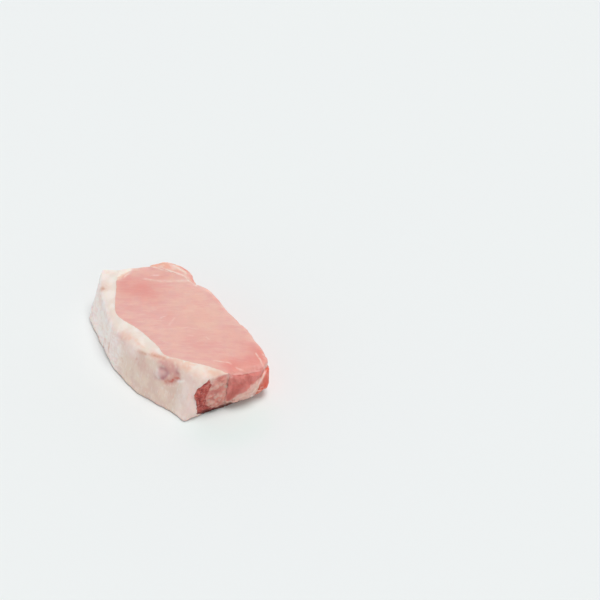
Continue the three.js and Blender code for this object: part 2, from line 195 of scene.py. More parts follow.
def away(points, path):
    """Distance of each point from a line through the path's points."""
    path = np.asarray(path, float)
    nearest = np.full(len(points), np.inf)
    for a, b in zip(path[:-1], path[1:]):
        run = b - a
        share = np.clip((points - a) @ run / (run @ run), 0, 1)
        nearest = np.minimum(nearest, np.linalg.norm(points - a - share[:, None] * run, axis=1))
    return nearest


def streak(points, path, width):
    """1 on a line through the path's points, exp(-(distance / width)^2) beside it."""
    return np.exp(-((away(points, path) / width) ** 2))


def spot(points, at, radius):
    """1 at a place, exp(-(distance / radius)^2) around it."""
    return np.exp(-((np.linalg.norm((points - at) / np.asarray(radius, float), axis=1)) ** 2))


def streaks(points, rows):
    """Streaks added up, from rows of a path, a width and a strength."""
    return sum(strength * streak(points, path, width) for path, width, strength in rows)


def spots(points, rows):
    """Spots added up, from rows of a place, a radius and a strength."""
    return sum(strength * spot(points, at, radius) for at, radius, strength in rows)


def wandered(points, reach, seed):
    """Points moved by noise up to a reach, so that what is drawn on them doesn't run true."""
    return points + reach * np.column_stack([rough(points, 4, seed + k) for k in range(3)])


# Rails and bars


def top_height(x, y):
    """Height of the upper face: the thickness plus smooth swells rise exp(-u^2 - v^2)."""
    height = THICKNESS + 0 * x
    for (cx, cy), (sx, sy), rise in SWELLS:
        height = height + rise * np.exp(-(((x - cx) / sx) ** 2) - ((y - cy) / sy) ** 2)
    return height


def top_rail(plan):
    """Rail on the upper face over a plan curve."""
    def rail(t):
        x, y = smooth(plan, t).T
        return np.column_stack([x, y, top_height(x, y)])
    return rail


def bottom_rail(plan, slant):
    """Rail on the floor: the plan curve moved by its slant."""
    def rail(t):
        x, y = (smooth(plan, t) + smooth(slant, t)).T
        return np.column_stack([x, y, 0 * x])
    return rail


def shifted(rail, distance):
    """Rail moved in plan to the left of its run, by a distance or a function of t."""
    def moved(t):
        run = rail(np.minimum(t + 0.004, 1)) - rail(np.maximum(t - 0.004, 0))
        run[:, 2] = 0
        run = unit(run)
        far = distance(t) if callable(distance) else distance + 0 * t
        return rail(t) + np.column_stack([-run[:, 1], run[:, 0], 0 * t]) * far[:, None]
    return moved


def stretch(rail, span):
    """The stretch of a rail between two shares of its run."""
    return lambda t: rail(span[0] + (span[1] - span[0]) * t)


def section_rings(corners, radii, steps, most):
    """Section at every station: straight edges between four corners, each corner a parabolic arc
    (1-s)^2 start + 2 s (1-s) corner + s^2 end."""
    columns = []
    for k in range(4):
        corner, after, before = corners[k], corners[(k + 1) % 4], corners[(k + 3) % 4]
        to_after, to_before = after - corner, before - corner
        long_after = np.linalg.norm(to_after, axis=1)
        long_before = np.linalg.norm(to_before, axis=1)
        reach = np.minimum(radii[k], most * np.minimum(long_after, long_before))[:, None]
        reach_after = np.minimum(radii[(k + 1) % 4], most * long_after)[:, None]
        to_after, to_before = unit(to_after), unit(to_before)
        start, end = corner + to_before * reach, corner + to_after * reach
        for s in np.arange(ARC_STEPS) / ARC_STEPS:
            columns.append((1 - s) ** 2 * start + 2 * s * (1 - s) * corner + s * s * end)
        last = after - to_after * reach_after
        for s in np.arange(steps[k]) / steps[k]:
            columns.append((1 - s) * end + s * last)
    return np.stack(columns, axis=1)


ROUNDNESS = 2.3
RING_CROWDING = 1.25


def dome_rows(ring, inner, corners, depth, count, easing):
    """Rings that close an end. They shrink to its middle and stand out by
    depth f(u)^e f(v)^d with f(u) = 1 - |u|^n, u and v the shares towards the edges; the easing
    gives e towards the right side and d towards the top of the section, 1/n holds elsewhere
    and takes over from d near the right side."""
    facing = np.sum(np.cross(ring, np.roll(ring, -1, axis=0)), axis=0)
    facing[2] = 0
    facing = unit(facing)
    facing = facing * np.sign(facing @ (ring[0] - inner[0]))
    right_top, left_top, left_bottom, right_bottom = corners
    across = (right_top + right_bottom - left_top - left_bottom) / 4
    up = (right_top + left_top - right_bottom - left_bottom) / 4
    middle = ring.mean(axis=0)
    size = 1 - (np.arange(1, count + 1) / count) ** RING_CROWDING
    rows = middle + size[:, None, None] * (ring - middle)
    offset = rows - middle
    mixed = across @ up
    scale = (across @ across) * (up @ up) - mixed**2
    a, b = offset @ across, offset @ up
    u = (a * (up @ up) - b * mixed) / scale
    v = (b * (across @ across) - a * mixed) / scale
    steep = 1 / ROUNDNESS
    from_top = easing[1] + (steep - easing[1]) * ramp(u, 0.2, 0.9)
    powers = np.where(u > 0, easing[0], steep), np.where(v > 0, from_top, steep)
    fullness = 1
    for place, power in zip((u, v), powers):
        fullness = fullness * np.clip(1 - abs(place) ** ROUNDNESS, 0, 1) ** power
    return rows + facing * (depth * fullness)[..., None]


def bar_rows(rails, radii, steps, stations, domes, dome_counts,
             easing=(1 / ROUNDNESS, 1 / ROUNDNESS), most=MOST_ROUNDING):
    """Rows of a closed bar: dome, sections at every station, dome."""
    t = np.linspace(0, 1, stations)
    corners = np.stack([rail(t) for rail in rails])
    sizes = [r(t) if callable(r) else r + 0 * t for r in radii]
    rings = section_rings(corners, sizes, steps, most)
    start = dome_rows(rings[0], rings[1], corners[:, 0], domes[0], dome_counts[0], easing)[::-1]
    end = dome_rows(rings[-1], rings[-2], corners[:, -1], domes[1], dome_counts[1], easing)
    return np.concatenate([start, rings, end])


def from_wall(rows, wall_columns, dome_counts):
    """Distance of each point from the wall between two pieces, measured round the section, and
    on the domes inwards from the section's edge."""
    rings = rows[dome_counts[0]:len(rows) - dome_counts[1]]
    lengths = np.linalg.norm(np.roll(rings, -1, axis=1) - rings, axis=2)
    place = np.concatenate([np.zeros((len(rings), 1)), np.cumsum(lengths, axis=1)], axis=1)
    total = place[:, -1:]
    place = place[:, :-1]
    first, last = wall_columns
    from_last = np.mod(place - place[:, last:last + 1], total)
    to_first = np.mod(place[:, first:first + 1] - place, total)
    around = np.minimum(from_last, to_first)
    around[:, first:last + 1] = 0
    before = np.repeat(around[:1], dome_counts[0], axis=0)
    after = np.repeat(around[-1:], dome_counts[1], axis=0)
    before = before + np.linalg.norm(rows[:dome_counts[0]] - rings[0], axis=2)
    after = after + np.linalg.norm(rows[len(rows) - dome_counts[1]:] - rings[-1], axis=2)
    return np.concatenate([before, around, after])


def wall_first(rows, steps, dome_counts):
    """Rows turned so that the wall at the seam comes first, and each point's distance from it."""
    starts = arc_starts(steps)
    rows = np.roll(rows, -starts[3], axis=1)
    wall = (0, starts[4] - starts[3] + ARC_STEPS)
    return rows, flattened(from_wall(rows, wall, dome_counts))


def warped(points):
    """Points moved level and outwards by the sides' waves and lumps, and everything moved a
    little in plan by noise, so that no edge runs true. All pieces bend together."""
    x, y, z = points.T
    height = np.zeros(len(points))
    for length, depth, phase in SIDE_WAVES:
        turn = 2 * np.pi / length
        height += depth * np.sin(turn * (x + 0.5 * y) + phase) * np.cos(0.3 * turn * z)
    for at, spread, rise in LUMPS:
        height += rise * spot(points, at, spread)
    height *= ramp(z, 0.5, 4)
    plan = points[:, :2] / OVAL
    share = ramp(np.linalg.norm(plan, axis=1), 0.45, 0.85)
    outward = unit(plan / OVAL)
    height += spots(points, FOOT_SWELLS)
    moved = points.copy()
    moved[:, :2] += outward * (share * height)[:, None]
    flat = points * [1, 1, 0.35]
    moved[:, 0] += 0.35 * rough(flat, 7, 41) * share
    moved[:, 1] += 0.35 * rough(flat, 7, 47)
    knobs = 0.35 * rough(points, (4, 4, 3), 9) + 0.14 * rough(points, 1.4, 10)
    dents = spots(points, FOOT_DENTS)
    return moved + END_OUT * (knobs * ramp(x, 38, 42) - dents)[:, None]


def closed_faces(row_count, columns):
    """Triangles of a closed surface through a grid whose first and last rows are one point."""
    i, j = np.meshgrid(np.arange(1, row_count - 2), np.arange(columns), indexing="ij")
    k = (j + 1) % columns
    at = lambda a, b: 1 + (a - 1) * columns + b
    quads = [at(i, j), at(i + 1, j), at(i + 1, k), at(i, k)]
    a, b, c, d = (q.ravel() for q in quads)
    j = np.arange(columns)
    k = (j + 1) % columns
    last = 1 + (row_count - 2) * columns
    end = row_count - 2
    start_fan = np.column_stack([0 * j, at(1, j), at(1, k)])
    end_fan = np.column_stack([at(end, j), 0 * j + last, at(end, k)])
    return np.vstack([start_fan, np.column_stack([a, b, c]), np.column_stack([a, c, d]), end_fan])


def flattened(rows):
    """Values on a grid as one list, with the first and last rows taken as single points."""
    middle = rows[1:-1].reshape(-1, *rows.shape[2:])
    return np.concatenate([rows[:1, 0], middle, rows[-1:, 0]])


def point_normals(points, faces):
    """Mean direction of the faces around each point, weighted by their areas."""
    a, b, c = (points[faces[:, k]] for k in range(3))
    cross = np.cross(b - a, c - a)
    total = np.zeros_like(points)
    for k in range(3):
        for axis in range(3):
            total[:, axis] += np.bincount(faces[:, k], cross[:, axis], len(points))
    return unit(total)


def surface(rows):
    """Points of a bar before and after the warp, its faces and its normals."""
    faces = closed_faces(len(rows), rows.shape[1])
    straight = flattened(rows)
    points = warped(straight)
    return straight, points, faces, point_normals(points, faces)


def arc_starts(steps):
    """First column of each corner arc, then the number of columns."""
    return np.cumsum([0, *(ARC_STEPS + count for count in steps)])


def pressed_by_lobe(points, path, middle, half_height, half_width, lean):
    """Move that takes points out of a lobe, to the left of its run, and their distance from its
    surface in its section, below 0 inside."""
    s = np.linspace(0, 1, 90)
    spine = smooth(path, s)
    run = unit(np.gradient(spine, axis=0))
    mid, high, wide = (smooth(v, s)[:, 0] for v in (middle, half_height, half_width))
    level = points[:, 2:3] - mid
    plan = points[:, None, :2] - level[..., None] * smooth(lean, s) - spine
    nearest = np.argmin(np.sum(plan**2, axis=2), axis=1)
    rows = np.arange(len(points))
    offset, level = plan[rows, nearest], level[rows, nearest]
    run, high, wide = run[nearest], high[nearest], wide[nearest]
    left = np.column_stack([-run[:, 1], run[:, 0]])
    across = np.sum(offset * left, axis=1) + wide * (1 - CORNER_INNER_SHARE) / 2
    wide = wide * (1 + CORNER_INNER_SHARE) / 2
    radius = MOST_ROUNDING * 2 * wide
    u = abs(across) - (wide - radius)
    w = abs(level) - (high - radius)
    outside = np.hypot(np.maximum(u, 0), np.maximum(w, 0))
    depth = outside + np.minimum(np.maximum(u, w), 0) - radius
    reach = wide - radius + np.sqrt(np.maximum(radius**2 - np.maximum(w, 0) ** 2, 0))
    inside = depth < 0.05
    inside &= abs(np.sum(offset * run, axis=1) - 0.2) < 0.3
    press = np.where(inside, np.maximum(reach - across, 0) + 0.12, 0)
    move = np.zeros_like(points)
    move[:, :2] = left * press[:, None]
    return move, depth


# Meshes


def placed(name, data):
    """Object in the scene that holds a mesh, a light or a camera."""
    thing = bpy.data.objects.new(name, data)
    bpy.context.scene.collection.objects.link(thing)
    return thing


def make_piece(node, points, faces, material, masks):
    """Mesh piece in metres in the CAD frame, with its masks kept as values on its points."""
    name = node + "_surface"
    mesh = bpy.data.meshes.new(name)
    points[:, 2] = np.maximum(points[:, 2], 0.0)
    mesh.from_pydata((points + SHIFT) * MM, [], faces)
    mesh.polygons.foreach_set("use_smooth", np.ones(len(faces), bool))
    for label, values in masks.items():
        layer = mesh.attributes.new(label, "FLOAT", "POINT")
        layer.data.foreach_set("value", np.clip(values, 0, 1).astype(np.float32))
    mesh.update()
    mesh.materials.append(material)
    piece = placed(name, mesh)
    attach(piece, "root")
    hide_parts(node)
    return piece


def facings(normals):
    """How far a surface faces up, down and to the side: three shares that add up to 1."""
    up = ramp(normals[:, 2], 0.5, 0.9)
    down = ramp(-normals[:, 2], 0.6, 0.9)
    return up, down, 1 - up - down


# Materials


class Wire:
    """Output of a shader node; arithmetic on it adds Math nodes."""

    def __init__(self, tree, socket):
        self.tree = tree
        self.socket = socket

    def add(self, kind, settings, inputs, output=0):
        """Node of any type: settings first, then values or links; gives one of its outputs."""
        node = self.tree.nodes.new("ShaderNode" + kind)
        for key, value in settings.items():
            setattr(node, key, value)
        for key, value in inputs.items():
            feed(self.tree, node.inputs[key], value)
        return Wire(self.tree, node.outputs[output])

    def math(self, operation, first, second):
        """Math node on two values or wires."""
        return self.add("Math", {"operation": operation}, {0: first, 1: second})

    def __add__(self, other):
        return self.math("ADD", self, other)

    def __rsub__(self, other):
        return self.math("SUBTRACT", other, self)

    def __mul__(self, other):
        return self.math("MULTIPLY", self, other)

    def __pow__(self, other):
        return self.math("POWER", self, other)

    __radd__ = __add__
    __rmul__ = __mul__


def feed(tree, socket, value):
    """Joins a wire to a socket, or sets the socket to a number, a colour or a vector."""
    if isinstance(value, Wire):
        tree.links.new(value.socket, socket)
    else:
        socket.default_value = value


def tint(code):
    """Colour of a screen code such as e3a79d, as linear red, green, blue and 1."""
    parts = np.array([int(code[k:k + 2], 16) for k in (0, 2, 4)]) / 255
    linear = np.where(parts <= 0.04045, parts / 12.92, ((parts + 0.055) / 1.055) ** 2.4)
    return (*linear, 1.0)


class Finish:
    """A material under way: its tree, its coordinates in millimetres, and its shader."""

    def __init__(self, name, **constants):
        self.material = bpy.data.materials.new(name)
        self.material.use_nodes = True
        self.tree = self.material.node_tree
        self.shader = self.tree.nodes["Principled BSDF"]
        self.join(**constants)
        self.start = Wire(self.tree, None)
        place = self.start.add("TexCoord", {}, {}, "Object")
        self.place = self.start.add("VectorMath", {"operation": "SCALE"}, {0: place, "Scale": 1000.0})

    def join(self, **sockets):
        """Joins wires to the shader's sockets, or sets these to numbers; gives the material."""
        for name, value in sockets.items():
            feed(self.tree, self.shader.inputs[name.replace("_", " ")], value)
        return self.material

    def mask(self, name):
        """Value kept on the piece's points."""
        return self.start.add("Attribute", {"attribute_name": name}, {}, "Fac")

    def grain(self, size, seed=0, detail=2.0, turn=0.0):
        """Noise about 0 to 1, of a size in millimetres, or of three sizes, turned about Z."""
        size = np.broadcast_to(np.asarray(size, float), 3)
        place = self.start.add("VectorRotate", {"rotation_type": "Z_AXIS"},
                               {"Vector": self.place, "Angle": float(np.radians(turn))})
        place = self.start.add("VectorMath", {"operation": "MULTIPLY_ADD"},
                               {0: place, 1: tuple(1 / size), 2: (7.1 * seed, 3.3 * seed, 5.7 * seed)})
        return self.start.add("TexNoise", {}, {"Vector": place, "Scale": 1.0, "Detail": detail}, "Fac")

    def between(self, value, low, high):
        """0 below low, 1 above high, smooth between."""
        return self.start.add("MapRange", {"interpolation_type": "SMOOTHSTEP"},
                              {"Value": value, "From Min": low, "From Max": high}, "Result")

    def blend(self, share, first, second):
        """Colour going from the first to the second, each a wire or a code, as the share goes
        from 0 to 1."""
        first, second = (tint(c) if isinstance(c, str) else c for c in (first, second))
        return self.start.add("Mix", {"data_type": "RGBA"}, {"Factor": share, 6: first, 7: second}, 2)

    def mottled(self, value, low, high, first, second):
        """Colour from the first code to the second as a value goes from low to high."""
        return self.blend(self.between(value, low, high), first, second)

    def layers(self, colour, rows):
        """Colours laid over one another, each where its mask is 1, as strongly as its row says."""
        for name, (strength, top) in rows.items():
            colour = self.blend(self.mask(name) * strength, colour, top)
        return colour

    def done(self, colour, roughness, height, relief):
        """Material with a colour, a roughness, and a height that is worth a relief in millimetres."""
        inputs = {"Strength": 1.0, "Distance": relief * MM, "Height": height}
        bump = self.start.add("Bump", {}, inputs, "Normal")
        return self.join(Base_Color=colour, Roughness=roughness, Normal=bump)


FLESH = dict(Subsurface_Weight=0.35, Subsurface_Radius=(1.0, 0.35, 0.22), Subsurface_Scale=0.0012,
             Specular_IOR_Level=0.4, IOR=1.4)
# Angle of the eye's fibres about Z, in degrees.
FIBRES = -51


def lean_material():
    """Pale pink cut muscle with faint fibres; the near end is redder, with a pale band."""
    f = Finish("lean_meat", **FLESH)
    clouds = f.grain((9, 4, 4), 1, 2.0, FIBRES)
    patches = f.grain(3.5, 4, 2.0)
    fibres = f.grain((7, 0.55, 2), 2, 3.0, FIBRES)
    colour = f.mottled(clouds, 0.38, 0.62, "e8b9ad", "e5ada6")
    colour = f.blend(f.between(patches, 0.5, 0.72) * 0.5, colour, "e2aea9")
    colour = f.blend(f.between(fibres, 0.5, 0.7) * 0.3, colour, "f0cdc0")
    colour = f.blend(f.between(f.grain((5, 0.4, 2), 3, 3.0, FIBRES), 0.55, 0.7) * 0.25, colour, "dc9d92")
    # The foot tint is painted shade: a near-black red along the bottom that stands in for the contact
    # shadow at the floor.
    colour = f.layers(colour, {
        "orange": (0.8, "efbfa0"), "rosy": (0.8, "e0897e"), "side": (0.9, "dd968d"),
        "end": (0.9, "da857d"), "deep": (0.85, "bb6158"), "red": (0.9, "cc4a40"),
        "pale": (0.85, "e8c3b6"), "white": (0.9, "f6e2d8"), "fatty": (1.0, "f8ebe0"),
        "foot": (0.9, "54221f"),
    })
    height = fibres * 0.6 + f.grain(0.7, 8, 1.0) * 0.4
    return f.done(colour, 0.46 + patches * 0.1, height, 0.10)


def fat_material():
    """Cream fat: lighter on the cut face, streaked on the rim, beige in its middle, with peach and
    tan veins, a bruise, and pink membrane on the near end. Painted light and shade on it: whiter
    tops and lilac hollows on the rim's lumps, a highlight on the bruise, a glint, the rim's tint
    and the lip lightened against shade, and contact shade along the foot."""
    f = Finish("back_fat", **FLESH)
    clouds = f.grain(7, 11, 3.0)
    strands = f.grain((0.9, 0.9, 7), 12, 3.0)
    colour = f.mottled(clouds, 0.4, 0.6, "f2e7df", "ecddd2")
    # The rim's tints are partly painted light: lighter than the cut face's cream, to stand in for light
    # that the rim's side lacks.
    rim = f.mottled(clouds, 0.4, 0.6, "fceee9", "f5e3dc")
    warm = f.mottled(clouds, 0.4, 0.6, "ead5c6", "e3c8bb")
    membrane = f.mottled(f.grain(2.6, 14, 2.0), 0.4, 0.62, "c96e64", "dc8b7e")
    colour = f.blend(f.mask("rim"), colour, f.blend(f.mask("warm"), rim, warm))
    colour = f.blend(f.mask("rim") * f.between(strands, 0.52, 0.7) * 0.3, colour, "f6f0ee")
    # Among these, the lilac is partly painted shade in the hollows of the rim's lumps, the near-white after
    # it is painted light on the lumps' tops and a painted highlight on the bruise, the white holds a
    # painted glint, the lip tint is lighter to lift the shade of the seam's groove, and the blood-red and
    # the foot tint are partly painted contact shade along the bottom.
    colour = f.layers(colour, {
        "lilac_and_hollow_shade": (0.6, "d8bfc2"), "painted_highlight": (0.6, "faf5f2"), "peach": (0.75, "efc5b0"),
        "tan": (0.8, "d0967d"), "pink": (0.8, "db9f9a"), "bruise": (0.85, "b97a82"),
        "membrane": (0.9, membrane), "deep": (0.8, "c77a73"), "lip": (0.95, "ecab9c"),
        "blood_and_foot_shade": (0.9, "cd6157"), "white": (0.85, "fbf1ea"), "bead": (0.85, "d6afa1"),
        "foot": (0.9, "5a322e"),
    })
    height = strands * f.mask("rim") * 0.6 + f.grain(0.6, 16, 1.0) * 0.4
    return f.done(colour, 0.46 + clouds * 0.1, height, 0.12)


def dark_material():
    """Dark red lean of the strip muscle, coarse and moist."""
    f = Finish("dark_lean", **FLESH)
    grains = f.grain(1.5, 21, 3.0)
    colour = f.mottled(grains, 0.35, 0.65, "aa453e", "cb6c60")
    # The foot tint is painted shade at the floor, and the deep tint is partly painted shade, darkening the
    # face towards the floor.
    colour = f.layers(colour, {
        "deep": (1.0, "983a36"), "pale": (0.6, "dd9488"), "foot": (0.9, "4a1513"),
    })
    return f.done(colour, 0.38 + f.grain(1.0, 23) * 0.15, grains, 0.25)


def corner_material():
    """Red-orange lean of the corner muscle above, under a pale pink membrane below."""
    f = Finish("corner_lean", **FLESH)
    strands = f.grain((0.9, 0.9, 3.5), 31, 3.0)
    colour = f.mottled(strands, 0.35, 0.65, "d95f49", "e5836d")
    colour = f.layers(colour, {
        "deep": (0.8, "cb4e3f"), "pale": (0.85, "eebcae"), "white": (0.85, "f6ded4"),
    })
    return f.done(colour, 0.4 + f.grain(1.0, 33) * 0.12, strands, 0.2)


def chine_material():
    """Pink lean of the chine muscle, with pale seams between its bundles."""
    f = Finish("chine_lean", **FLESH)
    clouds = f.grain(6, 41, 3.0)
    fibres = f.grain((6, 0.7, 2.5), 42, 3.0, FIBRES)
    colour = f.mottled(clouds, 0.38, 0.62, "eec0b1", "e8b0a4")
    colour = f.blend(f.between(fibres, 0.5, 0.7) * 0.4, colour, "f2d0c4")
    colour = f.layers(colour, {
        "orange": (0.6, "eeab94"), "side": (0.8, "de8e82"), "red": (0.8, "d9695c"),
        "white": (0.85, "f7e3d9"),
    })
    return f.done(colour, 0.46 + clouds * 0.1, fibres, 0.12)


# Fat

FAT_STEPS = (24, 44, 14, 72)
FAT_STATIONS = 320
FAT_DOMES = (12, 14)
FAT_DEPTHS = (0.7, 0.1)
FAT_ROUNDING = [1.4, 2.8, 4.6, 4.6, 3.2, 3.4, 4.6, 4, 1.4]

TAN_VEINS = [
    [(3.6, -23.2, 20.5), (8.5, -22.1, 21.9), (12.7, -20.8, 22.9), (16.4, -19.3, 23.7), (20.1, -17.8, 24.4)],
    [(-7.2, -26.1, 9.5), (-4.5, -26.8, 6.9), (-1.9, -27.4, 4.9), (-0.4, -28.1, 3.3)],
    [(-19.5, -25.2, 10.1), (-19.8, -25.6, 8.1), (-19.3, -26.2, 5.3)],
]
TAN_SPOTS = [
    ((-44.2, -11.9, 22), (2.2, 2, 2.6), 1), ((-25.7, -24.3, 6.9), (0.9, 1.2, 1.3), 1),
    ((-34.5, -23.2, 1.2), (2.4, 1.5, 0.9), 1), ((4.2, -24.5, 16.5), (0.5, 1, 0.5), 1),
    ((-19.6, -25.4, 9.2), (0.7, 1, 1.3), 1),
]
BEIGE_TOP = (42.8, -4.4, 24.8)
BEIGE_SIDE = (38.5, -13.5, 23.5)
END_LINE = np.array([45.95, -0.05, 22.0])
END_FACING = np.array([0.955, -0.295, 0.087])
END_EDGE = 2.6
# The fat's edge beside the eye at the near end, and how far it is moved outwards.
SEAM_END = [(45.95, -0.05, 22.5), (43.8, -2.7, 0)]
LIP_REACH = 0.6
PEACH_LINES = [
    ([(-9.5, -22.8, 20.2), (-7.5, -21.8, 21.8), (-5.5, -21.5, 22.2)], 2.2, 1),
    ([(-1.7, -20.6, 22.7), (1.4, -21.5, 22.6), (5.5, -21.3, 22.8)], 1, 1),
    ([(12.3, -20.5, 23.3), (19, -17.7, 24.7), (27, -14.3, 25.9), (33, -11, 26.4)], 1.2, 1),
    ([(26, -12.8, 25.6), (31, -9.6, 26.1), (37, -5.6, 26)], 0.5, 1),
    ([(22, -17.5, 25), (28, -15.2, 25.8), (33, -13.2, 26)], 2, 1),
]
BRUISE = (20.5, -22.2, 17.8)
# Painted highlight on the bruise's swelling.
BRUISE_GLEAM = [(19, -22.4, 19.2), (19.5, -23, 17.6), (20.6, -23.3, 15.9)]
BRUISE_RING = [
    (20, -20.8, 20.3), (21.8, -20.2, 20.6), (23.3, -19.9, 19.6), (23.4, -20.4, 17.7),
    (22.4, -21.8, 15.9),
]
RING_FOOT = [(22.4, -21.8, 15.9), (20.8, -22.9, 14.7), (19.2, -23.6, 14.9)]
SECOND_BRUISE = (29.1, -17.6, 22)
PINK_PATCHES = [
    ((25.5, -18.4, 21.6), (4.4, 3.5, 3.4), 1.3), ((20, -19.5, 23.2), (5, 3, 1.6), 0.9),
    ((-10, -23.5, 20), (4.5, 3, 3), 0.4), ((22.3, -21.2, 18), (1.6, 2, 2), 0.5),
    ((6, -24.5, 16), (10, 4, 5), 0.35), ((27.5, -18.2, 22.5), (5, 3, 3), 0.5),
]
SLIT = [
    (24, -21, 13.9), (25.9, -20, 15.2), (27, -19.2, 16.8), (29.5, -18, 18.6),
    (30.3, -17.8, 19.4),
]
# Painted highlight: a white glint beside the slit's end.
GLINT = [(30.4, -18.8, 17.6), (32, -18.2, 18.9), (34.2, -17.2, 20.5)]
GLOBULES = [
    (-8.7, 7.2, 1.8), (-10, 6, 0.9), (-10, 9, 1.1), (-4.6, 7.7, 1.2), (-6.8, 10.3, 1.1),
    (-3.9, 10.2, 0.9), (-9.2, 12.3, 1.1), (-5.3, 11.6, 0.9), (-6.2, 17.2, 1.6), (-3.8, 17.7, 1.1),
    (-0.8, 14.9, 1.3), (-6.4, 5.6, 1), (-8.1, 4.2, 1.2), (-2.6, 5.1, 0.8), (-5.8, 3.4, 0.9),
    (-2.4, 12.2, 0.8), (-8.2, 16.8, 1),
]
# The smaller ones: between which y, which z and which radii they are strewn.
SMALL_GLOBULES = [(-9, -1), (2.5, 18), (0.4, 0.75)]
DARK_PATCH = [(43.5, -7.9, 14.6), (44, -5.6, 13.6), (44.4, -3.8, 12.7)]
PALE_PATCHES = [
    [(44.4, -5.4, 18.6), (44.6, -3, 18), (45, -1.5, 14.4)], [(43.2, -9.2, 18.2), (43.4, -8.6, 17)],
    [(44.2, -6.6, 11.4), (44.9, -4.2, 10.1)],
]
RED_PATCH = [(45.2, -3.1, 20.9), (45.4, -1.7, 21.4)]
ORANGE_PATCH = [(41.7, -7, 25.7), (43.2, -6, 25), (44.3, -3.6, 24)]
SEAM_GLOB = (46, 0.1, 21.6)


def side_point(t, z):
    """Point of the fat's side at a height, on the straight line from floor to top."""
    top, bottom = top_rail(RIM)(t), bottom_rail(RIM, RIM_SLANT)(t)
    share = (z / top[:, 2])[:, None]
    return bottom + (top - bottom) * share


def end_face(y, z):
    """x of the fat's near end at a place, by halving the stretch of the rim that may hold it."""
    low, high = 0.75 + 0 * y, 1.0 + 0 * y
    for _ in range(24):
        t = (low + high) / 2
        before = side_point(t, z)[:, 1] < y
        low, high = np.where(before, t, low), np.where(before, high, t)
    return side_point(low, z)[:, 0]


def strip_share(y, z):
    """How far out a place lies on the strip muscle's face: 0 in its middle, 1 on its outline."""
    low, high = STRIP_LEVELS
    level = (z - low) / (high - low)
    line, width = smooth(STRIP_LINE, level)[:, 0], smooth(STRIP_WIDTH, level)[:, 0]
    n = STRIP_FULLNESS
    return (abs((y - line) / width) ** n + abs(2 * level - 1) ** n) ** (1 / n)


def strip_hollow(share):
    """Depth of the strip muscle below the end face: an oval bowl inside its rim."""
    return STRIP_DEPTH * np.clip(1 - (share / STRIP_RIM) ** 2, 0, 1) ** 0.6


def ragged(points):
    """Small wander that frays the strip muscle's outline."""
    return 0.45 * rough(points, 2.4, 3, 2)


def globule_caps(y, z):
    """Round caps of the small globules on the membrane."""
    seeds = np.random.default_rng(7)
    small = np.column_stack([seeds.uniform(low, high, 16) for low, high in SMALL_GLOBULES])
    caps = np.zeros(len(y))
    for gy, gz, radius in np.vstack([GLOBULES, small]):
        reach = ((y - gy) ** 2 + (z - gz) ** 2) / radius**2
        caps = np.maximum(caps, radius * np.clip(1 - reach, 0, 1) ** 0.7)
    return caps


def end_rounding(q, far_off):
    """How far the upper edge of the near end is pulled in, less and less towards the seam."""
    beyond = (q - END_LINE) @ (END_FACING * (1, 1, -1))
    below = np.maximum(top_height(q[:, 0], q[:, 1]) - q[:, 2], 0)
    from_edge = np.maximum(-beyond, 0) + below
    pull = END_EDGE / 4 * np.clip(1 - from_edge / END_EDGE, 0, 1) ** 2 * ramp(far_off, 0.0, 2.0)
    return pull[:, None] * (END_FACING * (1, 1, 0) + (0, 0, 1))


